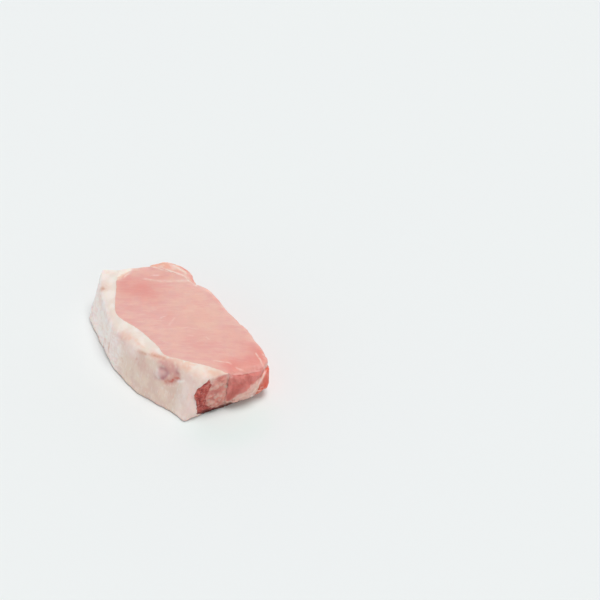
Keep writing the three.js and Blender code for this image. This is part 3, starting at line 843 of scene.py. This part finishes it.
def make_fat():
    """The fat cap: a bar from the seam out to the rim, with a bowl in its near end where the
    strip muscle lies."""
    seam_top, seam_bottom = top_rail(SEAM), bottom_rail(SEAM, SEAM_SLANT)
    rounding = lambda t: smooth(FAT_ROUNDING, t)[:, 0]
    rails = [top_rail(RIM), seam_top, seam_bottom, bottom_rail(RIM, RIM_SLANT)]
    radii = [rounding, EDGE, EDGE, 1.5]
    rows = bar_rows(rails, radii, FAT_STEPS, FAT_STATIONS, FAT_DEPTHS, FAT_DOMES, most=0.85)
    starts = arc_starts(FAT_STEPS)
    far_off = flattened(from_wall(rows, (starts[1], starts[2] + ARC_STEPS), FAT_DOMES))
    q, p, faces, n = surface(rows)
    bare = ramp(far_off, *WALL_FADE)
    up, down, side = facings(n)
    x, y, z = q.T
    facing = ramp(n[:, 0], 0.35, 0.75) * ramp(x, 38, 41)
    facing = np.maximum(facing, side * ramp(x - 43.7 - 0.105 * z, -0.9, -0.4))
    low, high = STRIP_LEVELS
    strip_line = smooth(STRIP_LINE, (z - low) / (high - low))[:, 0]
    end = facing * ramp(y - strip_line, 0.3, 1.6) * ramp(-z, -24.4, -22.4)

    share = strip_share(y + ragged(q), z)
    on_end = (x > 36) * (n[:, 0] > 0.3) * (y > -22)
    bowl = on_end * strip_hollow(share)
    near_bowl = on_end * ramp(-share, -1.12, -0.98)

    w = p.copy()
    wander = wandered(w, 0.4, 101)
    pearl_zone = side * ramp(-x, 2, 14)
    lumps = rough(q, (2.0, 2.0, 1.6), 7)
    caps = end * globule_caps(y, z) * (1 - near_bowl) * ramp(far_off, 0.4, 1.6)
    height = 0.10 * rough(q, 3.5, 1) * up
    height += side * 0.2 * rough(q, 9, 8) + side * (1 - pearl_zone) * 0.06 * rough(q, (2.5, 2.5, 9), 6)
    height += pearl_zone * (0.16 * lumps + 0.12 * rough(q, (2.2, 2.2, 9), 5))
    height += 0.5 * caps
    ring, foot = streak(wander, BRUISE_RING, 1.25), streak(wander, RING_FOOT, 1.0)
    swollen = spot(wander, BRUISE, (2.3, 3.0, 2.9))
    slit = streak(wander, SLIT, 1.4)
    height += 1.1 * swollen - 0.4 * ring - 0.25 * foot
    height -= 0.7 * slit + 0.4 * streak(w, np.array(SLIT) + (0, -0.5, -1.6), 0.8)
    for vein in TAN_VEINS:
        height -= 0.25 * streak(wander, vein, 0.55)
    height -= 0.35 * streak(wander, DARK_PATCH, 1.0)
    height *= 1 - down
    p = p + n * (height * bare)[:, None] - END_OUT * bowl[:, None]
    p -= end_rounding(q, far_off)
    lip = streak(q, SEAM_END, 1.4)
    before_end, at_end = seam_top(np.array([0.96, 1.0]))
    p += LIP_REACH * lip[:, None] * unit((at_end - before_end) * (1, 1, 0))

    mottle = 0.7 + 0.6 * rough(q, 1.8, 12)
    seam = np.exp(-((far_off / 0.7) ** 2)) * up
    outer = ramp(far_off, 2.0, 5.0) * ramp(x, 5, 15) * (1 - ramp(x, 31, 37)) * up
    tan = 1.2 * sum(streak(wander, vein, 0.5) for vein in TAN_VEINS) + spots(wander, TAN_SPOTS)
    near_top = up * ramp(x, 28, 33) * (1 - spot(w, (35.5, -12, 26), (3.5, 3, 4)))
    pinkish = spots(w, PINK_PATCHES)
    pale_end = sum(streak(wander, path, 1.0) for path in PALE_PATCHES)
    # Just under the top edge the beige is taken back so that the colour is lighter there: painted light
    # against the shade under the edge.
    painted_light_under_edge = ramp(z, 12, 20) * (1 - ramp(x, 0, 8))
    masks = {
        # Painted contact shade: the foot darkens the bottom edge, and the near end more widely towards the
        # floor.
        "foot": 0.35 * ramp(-z, -1.3, -0.1) + end * (ramp(-z, -3.2, -0.9) + 0.25 * ramp(-z, -8, -2)),
        "rim": side * (1 - end),
        "warm": ramp(x, -20, 0) * (1 - 0.6 * ramp(x, 29, 37)) * (1 - 0.8 * painted_light_under_edge),
        # The lilac is painted shade in the hollows between the rim's lumps, besides the bruise's own
        # colour; the next mask is painted light on the lumps' tops and a painted highlight on the bruise.
        "lilac_and_hollow_shade": 0.25 * pearl_zone * ramp(-lumps, 0.1, 0.55) + 0.9 * swollen,
        "painted_highlight": pearl_zone * ramp(lumps, 0.0, 0.4) + 1.1 * streak(wander, BRUISE_GLEAM, 0.9),
        "peach": (streaks(wander, PEACH_LINES) + 0.55 * near_top) * mottle + 0.15 * seam + 0.4 * outer
                 + 0.6 * streak(w, ORANGE_PATCH, 1.3),
        "tan": tan * mottle + 0.25 * outer + 0.4 * spot(w, BEIGE_TOP, (4.5, 5.0, 3.0))
               + 0.35 * spot(w, BEIGE_SIDE, (4, 3, 3)),
        "bruise": 0.8 * ring + 0.25 * foot + 0.25 * swollen + 0.7 * spot(wander, SECOND_BRUISE, 1.4),
        "pink": pinkish * mottle + 0.4 * end * streak(w, RED_PATCH, 1.2) + 0.5 * ramp(-z, -1.6, -0.3) * side
                + 0.15 * (side + facing) * (1 - end) * ramp(x, 34, 40) * ramp(-z, -22, -17),
        "membrane": end * (1 - 0.6 * ramp(z + 1.2 * rough(q, 3, 15), 17.5, 22.5) * ramp(-y, 4.0, 9.0)),
        "deep": end * streak(wander, DARK_PATCH, 1.2),
        # The blood-red is the slit's and the strip pocket's own red, plus painted contact shade along the
        # near end's foot.
        "blood_and_foot_shade": 0.9 * slit * (0.9 + 0.5 * rough(q, 1.8, 13)) + 0.9 * near_bowl * (bowl > 0.3)
                 + 0.7 * end * ramp(-z, -1.8, -0.6),
        # The glint streak is a painted highlight; the glob beside the seam is pale fat.
        "white": streak(wander, GLINT, 0.75) + 0.5 * spot(wander, SEAM_GLOB, 1.2),
        "bead": end * (0.75 * ramp(caps, 0.1, 0.7) + 0.45 * pale_end),
        # The lip is a lighter pink along the seam's groove on the near end: painted light that lifts the
        # groove's shade.
        "lip": end * lip,
    }
    return make_piece("fat_cap", p, faces, fat_material(), masks)


# Eye of the loin

EYE_STEPS = (100, 58, 44, 40)
EYE_STATIONS = 240
EYE_DOMES = (12, 52)
EYE_DEPTHS = (0.7, 2.7)

WHITE_LINE = [
    (50, 19, 16.8), (51.2, 16.9, 15.5), (51.6, 15, 13.3), (51.9, 13.2, 11.8), (51.5, 12, 9.7),
    (50.2, 10.6, 5.5), (48.5, 10.8, 2.5),
]
WHITE_STREAKS = [
    ([(36.2, -1.2, 25.1), (38.4, 1.9, 24.6), (40.3, 4.3, 24.1), (42, 4.8, 23.8)], 0.35, 0.8),
    ([(44.6, 5.6, 23), (46.4, 6.7, 22.5), (48, 8.1, 22)], 0.4, 0.8),
    ([(-36.4, 8.8, 22.5), (-33.8, 10.6, 22.5), (-30.3, 13.5, 22.5), (-24.5, 20.8, 22.5),
      (-21, 25.5, 22.4)], 0.8, 0.45),
    ([(-44.1, 0.8, 22.6), (-44.7, 3.5, 22.6), (-45.5, 6.2, 22.6)], 0.6, 0.8),
    ([(-7.1, -2.2, 22.6), (-6.6, 0.8, 22.6), (-6.8, 1.9, 22.6)], 0.4, 0.6),
    ([(0, -1.9, 22.7), (-1.4, 0.8, 22.6), (-2.6, 3.3, 22.6)], 0.45, 0.4),
    ([(12.2, 0.5, 23.2), (13.9, 2.1, 23.3)], 0.4, 0.4),
    ([(18.6, 6.4, 23.3), (21.3, 6.9, 23.5)], 0.35, 0.6),
    ([(-3.6, -9.9, 22.7), (0.2, -6.3, 22.8), (3.5, -1.5, 22.8), (6.7, 3.4, 22.9),
      (11.4, 7.3, 23)], 0.4, 0.25),
    ([(8.7, -11.3, 23.4), (13.5, -8.5, 23.7), (20.5, -4, 24.1)], 0.4, 0.25),
    ([(42, 19.8, 22.2), (44.8, 19, 22), (47.8, 18.5, 21.3), (50, 17.7, 20.1),
      (49.8, 18.6, 18)], 0.4, 0.9),
    ([(44.4, 22, 21.3), (47.4, 21.2, 21.1), (48.5, 21.2, 18.5), (48.8, 20.9, 16.5)], 0.4, 0.8),
    (WHITE_LINE, 0.6, 1),
    ([(52, 10.1, 12.6), (51.2, 9.5, 9.8), (50, 8.4, 5.5)], 0.35, 0.5),
    ([(46, 0.7, 21.8), (46.4, 1.2, 21.4)], 0.8, 0.5),
    ([(48.3, 14.4, 20.9), (49.6, 13.2, 19.4), (50.9, 12.6, 16.5)], 0.4, 0.5),
    ([(-35.4, 13.6, 22.5), (-34.2, 15.8, 22.5)], 0.7, 0.5),
    ([(-41.3, 17, 22.5), (-36.6, 19.7, 22.5), (-32.5, 21.7, 22.5)], 0.5, 0.6),
    ([(-29.1, 23.9, 22.5), (-24.2, 25.2, 22.5), (-20, 25.4, 22.4), (-15.9, 25.7, 22.4)], 0.5, 0.7),
    ([(-22, 25.5, 22.2), (-16, 26.3, 22.2), (-11, 28.4, 22), (-6, 29.2, 21.8)], 1.8, 0.45),
]
FATTY_STREAKS = [
    ([(-47.2, -1.5, 22.3), (-48.2, 1.2, 22.3), (-48.8, 3.6, 22.3), (-48.4, 5.8, 22.3)], 2.1, 1.7),
    ([(-48, 7, 22.3), (-46.8, 10.4, 22.3), (-44.6, 14.6, 22.3)], 1.5, 0.8),
]
RED_STREAKS = [
    ([(-35.7, 1.6, 22.5), (-32.8, 2.5, 22.5), (-31.8, 4.6, 22.5)], 0.8, 0.25),
    ([(-7.6, 2.4, 22.5)] * 2, 0.6, 0.8),
    ([(47.2, 3.2, 21), (48.3, 4.9, 20.5), (49, 6.3, 20.3), (49.6, 8.6, 20.3)], 0.75, 0.6),
    ([(48.3, 4.7, 19.6), (48.6, 5.4, 18.4)], 0.6, 0.5), ([(49.7, 15.6, 20.7)] * 2, 0.7, 0.7),
    ([(40, 23.3, 21.4), (43.6, 22.3, 21.4), (46.9, 20.9, 21.3), (48.9, 20.3, 20.6)], 0.8, 0.6),
    ([(47.7, 17.6, 21.4), (49.3, 17.1, 20.8)], 0.7, 0.5),
    ([(42, 5, 23.5), (44.5, 5.4, 23.2)], 1.6, 0.25),
]
ROSY_SPOTS = [
    ((-33, 0, 22.5), (6, 8, 5), 0.32), ((-36.5, -5, 22.5), (5, 4, 5), 0.3),
    ((-32.5, 16, 22.5), (4, 5, 4), 0.4), ((-41, -1, 22.5), (3, 4, 4), 0.3),
    ((43, 4, 23), (5, 5, 4), 0.8), ((46, 13, 21), (5, 7, 4), 0.7),
    ((-5.5, 1.5, 22.5), (3, 3, 4), 0.2), ((-30, 5, 22.5), (13, 9, 5), 0.25),
    ((25, 2, 23.5), (18, 9, 5), 0.25),
    ((-25, 4, 22.5), (9, 5, 5), 0.3), ((40, 16, 22), (10, 7, 5), 0.3), ((25, 18, 22), (9, 6, 5), 0.2),
    ((44, 21.5, 21.5), (7, 3.5, 4), 0.8),
]
ORANGE_LINE = [(-45, -2.2, 22.5), (-45.5, 0, 22.5), (-46.3, 2.4, 22.5), (-46.6, 4.8, 22.5)]
PALE_MIDDLE = (5, 12, 22.5)
PALE_LEAN = (3, 9, 22.5)
# Pale spot on the crease beside the corner muscle: painted light that lifts the crease's shade, over pale
# strands there.
LOBE_EDGE = (48.7, 20.8, 18.5)
RIM_LINE = [(46.6, 2.2, 21.4), (47.8, 4.4, 21.3), (49.5, 7.8, 20.6)]
BAND_Y = [0.5, 1.5, 3.2, 6.4, 7.9, 8.9, 11, 12.8]
BAND_Z = [6, 8, 10.2, 11.8, 13.7, 14.8, 15.2, 15.2]
DARK_STREAK = [(50.8, 9, 18.8), (51, 9.1, 16.8), (51.7, 9.3, 15)]
DARK_MIDDLE = [
    (49.6, 4.8, 15.8), (49.2, 2.7, 14.3), (48.9, 1.7, 12.9), (47.8, 0.6, 10.1), (47.1, -0.6, 8.1),
]


def make_eye():
    """The eye of the loin: a bar from the seam across to the free flank, rolled off along its
    near top edge, with a hollow where the corner muscle lies."""
    seam_top, seam_bottom = top_rail(SEAM), bottom_rail(SEAM, SEAM_SLANT)
    rounding = lambda t: 0.3 + 2.9 * ramp(t, 0.26, 0.36) - 1.7 * ramp(t, 0.86, 0.95)
    rails = [seam_top, top_rail(FLANK), bottom_rail(FLANK, FLANK_SLANT), seam_bottom]
    radii = [EDGE, rounding, 2.2, EDGE]
    rows = bar_rows(rails, radii, EYE_STEPS, EYE_STATIONS, EYE_DEPTHS, EYE_DOMES, (1.0, 1.0))
    rows, far_off = wall_first(rows, EYE_STEPS, EYE_DOMES)
    q, p, faces, n = surface(rows)
    bare = ramp(far_off, *WALL_FADE)
    up, down, side = facings(n)
    w = p.copy()
    x, y, z = q.T
    beyond = (q - END_LINE) @ (END_FACING * (1, 1, -1))
    end = (1 - down) * ramp(beyond + 0.6 * rough(q, 2.5, 33), -1.0, 1.0) * ramp(n[:, 0], 0.15, 0.6)

    along = turned(q, FIBRES)
    fine = 0.05 * rough(along, (8, 1.2, 3), 21) + 0.05 * rough(q, 1.2, 22, 2)
    height = up * (fine + 0.12 * rough(q, 7, 23))
    flank = side * (1 - end)
    height += flank * (0.28 * rough(q, (12, 3, 2.2), 24) + 0.1 * rough(q, (5, 1, 0.9), 25))
    height += end * 0.25 * rough(q, (1.6, 1.6, 5), 27) - 0.3 * end * streak(w, DARK_STREAK, 1.0)
    wander = wandered(w, 0.4, 104)
    for path, width, weight in WHITE_STREAKS:
        height += 0.14 * weight * streak(wander, path, width)
    height *= (1 - down) * bare
    relief = n * height[:, None]
    near = x > 25
    hollow = np.zeros_like(p)
    _, depth = pressed_by_lobe((q + relief)[near], *CORNER_SHAPE)
    relief[near] += n[near] * (0.9 * np.exp(-((np.maximum(depth, 0) / 1.3) ** 2)) * side[near])[:, None]
    hollow[near], _ = pressed_by_lobe((q + relief)[near], *CORNER_SHAPE)
    p = p + relief + hollow
    roll = 2.4 + 2.2 * ramp(y, 8, 18)
    p[:, 2] -= 0.5 * np.clip(1 + beyond / roll, 0, 1) ** 2 * ramp(z, 14, 22) * ramp(y, -1, 3)
    p -= end_rounding(q, far_off)

    mottle = 0.7 + 0.6 * rough(q, 1.6, 28)
    wander += p - w
    seam = np.exp(-((far_off / 0.5) ** 2)) * up
    band = np.interp(y, BAND_Y, BAND_Z) + 0.5 * rough(q, 2.5, 29)
    rim = streak(wander, RIM_LINE, 1.0)
    near_seam = end * (1 - ramp(far_off + 0.7 * rough(q, 2, 32), 1.0, 2.4))
    flank_edge = streak(q, np.column_stack([smooth(FLANK, np.linspace(0, 1, 25)), np.full(25, 22)]), 1.6)
    masks = {
        # Painted contact shade: the foot darkens the bottom edge, and the near end more widely towards the
        # floor.
        "foot": 0.3 * ramp(-z, -1.7, -0.2) + end * (ramp(-z, -3.2, -0.9) + 0.2 * ramp(-z, -8, -2)),
        "orange": streak(wander, ORANGE_LINE, 0.8) + 0.15 * seam
                  + 0.3 * up * spot(q, PALE_MIDDLE, (14, 9, 5)),
        "rosy": spots(wander, ROSY_SPOTS) + 0.3 * flank_edge * mottle,
        "side": side,
        "end": end,
        "deep": end * (0.5 * ramp(rough(q, (1.8, 3.0, 6), 30), -0.35, 0.45)
                       + streak(wander, DARK_MIDDLE, 1.9) + 0.7 * streak(wander, DARK_STREAK, 1.2)),
        # The red holds red streaks and the red rim line, plus painted contact shade along the near end's
        # foot.
        "red": streaks(wander, RED_STREAKS) * mottle + 0.3 * rim * mottle
               + 0.5 * end * ramp(-z, -1.6, -0.4),
        # The last term of the pale is painted light on the crease beside the corner muscle.
        "pale": end * ramp(band - z, -0.7, 1.2) * (0.5 + 0.7 * mottle) + 0.15 * near_seam
                + 0.3 * up * spot(q, PALE_LEAN, (20, 12, 6)) + 0.8 * spot(p, LOBE_EDGE, (1.6, 1.6, 1.8)),
        "white": streaks(wander, WHITE_STREAKS) * mottle,
        "fatty": streaks(wander, FATTY_STREAKS) * (0.85 + 0.4 * rough(q, 1.6, 28)),
    }
    return make_piece("loin_eye", p, faces, lean_material(), masks)


# Chine muscle

CHINE_STEPS = (16, 58, 12, 20)
CHINE_STATIONS = 110
CHINE_DOMES = (6, 6)
CHINE_DEPTHS = (0.5, 0.5)
CHINE_INSET = 0.04
CHINE_STREAKS = [
    ([(-41.3, 17.4, 22.5), (-36.6, 20.1, 22.5), (-33.8, 22.1, 22.5), (-29.1, 24.3, 22.5),
      (-24.2, 25.8, 22.5)], 0.5, 1),
    ([(-35.8, 26, 22.4), (-32.7, 26.8, 22.5), (-30, 27.3, 22.4), (-27, 27.4, 22.3)], 0.75, 1),
    ([(-26, 28.4, 21), (-21.5, 28.6, 20.5), (-17, 28, 19)], 0.35, 1),
]
CHINE_REDS = [
    ([(-34.1, 27.9, 22), (-31.6, 28.5, 22), (-29, 28.9, 22), (-25.4, 28.5, 22),
      (-22.6, 27.9, 22), (-19.7, 27, 22.2)], 0.6, 1),
]
CHINE_ORANGE = [(-42.3, 19.4, 22.4), (-40.5, 22.5, 22.4), (-38, 24, 22.4)]


def make_chine():
    """The chine muscle: a crescent along the far part of the flank."""
    width = lambda t: smooth(CHINE_WIDTH, t)[:, 0]
    inner_top = shifted(stretch(top_rail(FLANK), CHINE_SPAN), CHINE_INSET)
    inner_bottom = shifted(stretch(bottom_rail(FLANK, FLANK_SLANT), CHINE_SPAN), CHINE_INSET)
    rails = [inner_top, shifted(inner_top, width), shifted(inner_bottom, width), inner_bottom]
    rows = bar_rows(rails, [EDGE, 2.0, 1.6, EDGE], CHINE_STEPS, CHINE_STATIONS, CHINE_DEPTHS, CHINE_DOMES)
    rows, far_off = wall_first(rows, CHINE_STEPS, CHINE_DOMES)
    q, p, faces, n = surface(rows)
    bare = ramp(far_off, *WALL_FADE)
    up, down, side = facings(n)
    height = up * 0.12 * rough(turned(q, FIBRES), (8, 1.6, 3), 51)
    height += side * (0.3 * rough(q, (9, 3, 2.5), 52) + 0.1 * rough(q, (4, 1, 0.9), 53))
    p = p + n * (height * bare * (1 - down))[:, None]
    wander = wandered(p, 0.3, 107)
    seam = np.exp(-((far_off / 0.6) ** 2)) * up
    masks = {
        "side": side,
        "red": 0.8 * streaks(wander, CHINE_REDS) + 0.5 * side * ramp(rough(q, (6, 2, 3), 55), 0.1, 0.6),
        "white": 0.35 * ramp(rough(q, (7, 2, 3), 54), 0.2, 0.7) + 0.2 * seam
                 + 0.8 * streaks(wander, CHINE_STREAKS),
        "orange": streak(wander, CHINE_ORANGE, 2.2),
    }
    return make_piece("chine_muscle", p, faces, chine_material(), masks)


# Corner muscle and strip muscle

CORNER_STEPS = (8, 30, 8, 30)
CORNER_STATIONS = 100
CORNER_DOMES = (14, 14)
CORNER_DEPTHS = (0.15, 0.6)
CORNER_ROUNDING = 9.0


def make_corner():
    """The corner muscle: an oval bar along its path in plan, stringy on its outside."""
    path, middle, half_height, half_width, lean = CORNER_SHAPE

    def rail(side, level):
        def points(t):
            spine = smooth(path, t)
            run = unit(smooth(path, np.minimum(t + 0.01, 1)) - smooth(path, np.maximum(t - 0.01, 0)))
            half = smooth(half_height, t)[:, 0]
            width = smooth(half_width, t)[:, 0] * (CORNER_INNER_SHARE if side > 0 else -1)
            plan = spine + np.column_stack([-run[:, 1], run[:, 0]]) * width[:, None]
            plan = plan + (level * half)[:, None] * smooth(lean, t)
            return np.column_stack([plan, smooth(middle, t)[:, 0] + level * half])
        return points

    rails = [rail(-1, 1), rail(1, 1), rail(1, -1), rail(-1, -1)]
    radii = [CORNER_ROUNDING] * 4
    rows = bar_rows(rails, radii, CORNER_STEPS, CORNER_STATIONS, CORNER_DEPTHS, CORNER_DOMES)
    q, p, faces, n = surface(rows)
    outside = ramp(n[:, 0] + n[:, 1], -0.2, 0.4)
    p = p + n * (outside * (0.3 * rough(q, (3, 3, 4), 61) + 0.08 * rough(q, 0.9, 62, 2)))[:, None]
    z = q[:, 2]
    bulge = spots(q, CORNER_BULGES) - 1.5 * ramp(-z, -6.5, -2.5)
    p = p + n * (outside * bulge)[:, None]
    p[:, 2] = np.maximum(p[:, 2], FLOOR_GAP)
    masks = {
        "deep": spot(q, (52, 17.8, 13.5), (3.0, 3.0, 4.5)),
        "pale": 0.5 * streak(p, WHITE_LINE, 1.1)
                + 0.35 * ramp(5.5 + 1.5 * rough(q, 2.5, 64) - z, -1.5, 2.0),
        "white": 0.8 * ramp(rough(q, (4, 4, 1.2), 63), 0.55, 0.8) + 0.9 * streak(p, WHITE_LINE, 0.5),
    }
    return make_piece("corner_muscle", p, faces, corner_material(), masks)


STRIP_COLUMNS = 150
STRIP_FRONT_RINGS = 34
STRIP_BACK_RINGS = 24


def make_strip():
    """The dark strip muscle: its knobbly face lies in the near end, its back is an oval bowl."""
    turn = np.linspace(0, 2 * np.pi, STRIP_COLUMNS, endpoint=False)
    front = np.linspace(0, 1, STRIP_FRONT_RINGS)
    back = STRIP_RIM * np.cos(np.linspace(0, np.pi / 2, STRIP_BACK_RINGS))
    share = np.concatenate([front, back])[:, None] + 0 * turn
    is_back = (np.arange(len(share)) >= STRIP_FRONT_RINGS)[:, None] + 0 * turn
    low, high = STRIP_LEVELS
    across, up = (np.sign(v) * abs(v) ** (2 / STRIP_FULLNESS) for v in (np.cos(turn), np.sin(turn)))
    level = (1 + share * up) / 2
    z = low + (high - low) * level
    shape = level.shape
    line, width = (smooth(v, level.ravel())[:, 0].reshape(shape) for v in (STRIP_LINE, STRIP_WIDTH))
    y = line + share * width * across
    flat_y, flat_z = y.ravel(), z.ravel()
    face = np.column_stack([end_face(flat_y, flat_z), flat_y, flat_z])
    face[:, 1] -= ragged(face)
    face[:, 0] = end_face(face[:, 1], flat_z)
    face = face.reshape(*shape, 3)
    proud = 0.16 * (1 - share**8) - 0.02
    rows = face + END_OUT * np.where(is_back, -0.06 - strip_hollow(share), proud)[..., None]
    q, p, faces, n = surface(rows)
    front_share = flattened((1 - is_back) * (1 - share**6))
    p = p + n * (front_share * (0.3 * rough(q, 1.9, 71) + 0.1 * rough(q, 0.8, 72, 2)))[:, None]
    p[:, 2] = np.maximum(p[:, 2], FLOOR_GAP)
    masks = {
        # Painted contact shade: the foot and the deep's lower term darken the face towards the floor.
        "foot": ramp(-q[:, 2], -4.0, -0.9),
        "deep": ramp(-rough(q, 2.2, 74), 0.1, 0.6) + 0.8 * ramp(-q[:, 2], -8, -1),
        "pale": ramp(rough(q, 1.5, 73), 0.25, 0.6),
    }
    return make_piece("strip_muscle", p, faces, dark_material(), masks)


make_fat()
make_eye()
make_chine()
make_corner()
make_strip()


# Floor, light and camera

FLOOR_HALF = 1.6
FLOOR_ROUGHNESS = 0.9
# Where the floor's painted counter to the meat's pink bounce light is centred, and the reach over which it
# fades.
BESIDE_END = (50.0, -4.0, 0.0)
BESIDE_END_REACH = (12.0, 32.0)
CAMERA_AT = np.array([437.24, -273.0, 498.9])
CAMERA_TO = np.array([6.62, 75.71, 0.0])
LENS = 85.0
SENSOR = 36.0
SKY_TOP = 0.22
SKY_RIM = 1.2
SUN_FROM = (0.14, 0.19, 1.0)
SUN_STRENGTH = 1.93
SUN_SPREAD = 30


def make_floor():
    """Pale level floor under the slice, with a cooler tint painted beside the near end that
    cancels the meat's pink bounce light.
    """
    mesh = bpy.data.meshes.new("floor")
    h = FLOOR_HALF
    mesh.from_pydata([(-h, -h, 0), (h, -h, 0), (h, h, 0), (-h, h, 0)], [], [(0, 1, 2, 3)])
    f = Finish("pale_floor", Specular_IOR_Level=0.0)
    colour = f.blend(f.grain(400, 91), "eceff0", "edf1f0")
    # Painted light: a cooler tint beside the near end cancels the meat's pink bounce light.
    far = f.start.add("VectorMath", {"operation": "DISTANCE"}, {0: f.place, 1: BESIDE_END}, "Value")
    colour = f.blend(1 - f.between(far, *BESIDE_END_REACH), colour, "e6f0ee")
    mesh.materials.append(f.join(Base_Color=colour, Roughness=FLOOR_ROUGHNESS))
    floor = placed("floor", mesh)
    floor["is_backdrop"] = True


def make_light():
    """A pale tent, brighter low down, and a wide soft sun from above and a little behind."""
    world = bpy.data.worlds.new("studio")
    bpy.context.scene.world = world
    world.use_nodes = True
    tree = world.node_tree
    back = tree.nodes["Background"]
    back.inputs["Color"].default_value = (1.0, 1.0, 1.0, 1.0)
    ray = Wire(tree, None).add("TexCoord", {}, {}, "Generated")
    height = ray.add("SeparateXYZ", {}, {0: ray}, "Z")
    strength = SKY_TOP + SKY_RIM * (1 - height) ** 2
    feed(tree, back.inputs["Strength"], strength)
    sun = bpy.data.lights.new("soft_light", "SUN")
    sun.energy = SUN_STRENGTH
    sun.angle = np.radians(SUN_SPREAD)
    lamp = placed("soft_light", sun)
    lamp.rotation_euler = Vector(SUN_FROM).to_track_quat("Z", "Y").to_euler()


def make_camera():
    """Camera at the photograph's angle."""
    data = bpy.data.cameras.new("camera")
    data.lens = LENS
    data.sensor_width = SENSOR
    camera = placed("camera", data)
    at, to = Vector((CAMERA_AT + SHIFT) * MM), Vector((CAMERA_TO + SHIFT) * MM)
    camera.location = at
    camera.rotation_euler = (to - at).to_track_quat("-Z", "Y").to_euler()
    bpy.context.scene.camera = camera


make_floor()
make_light()
make_camera()
bpy.context.scene.view_settings.view_transform = "Standard"

as_lists = lambda box: [[float(v) for v in corner] for corner in box]
{"cad": as_lists(cad_box), "visual": as_lists(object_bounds())}
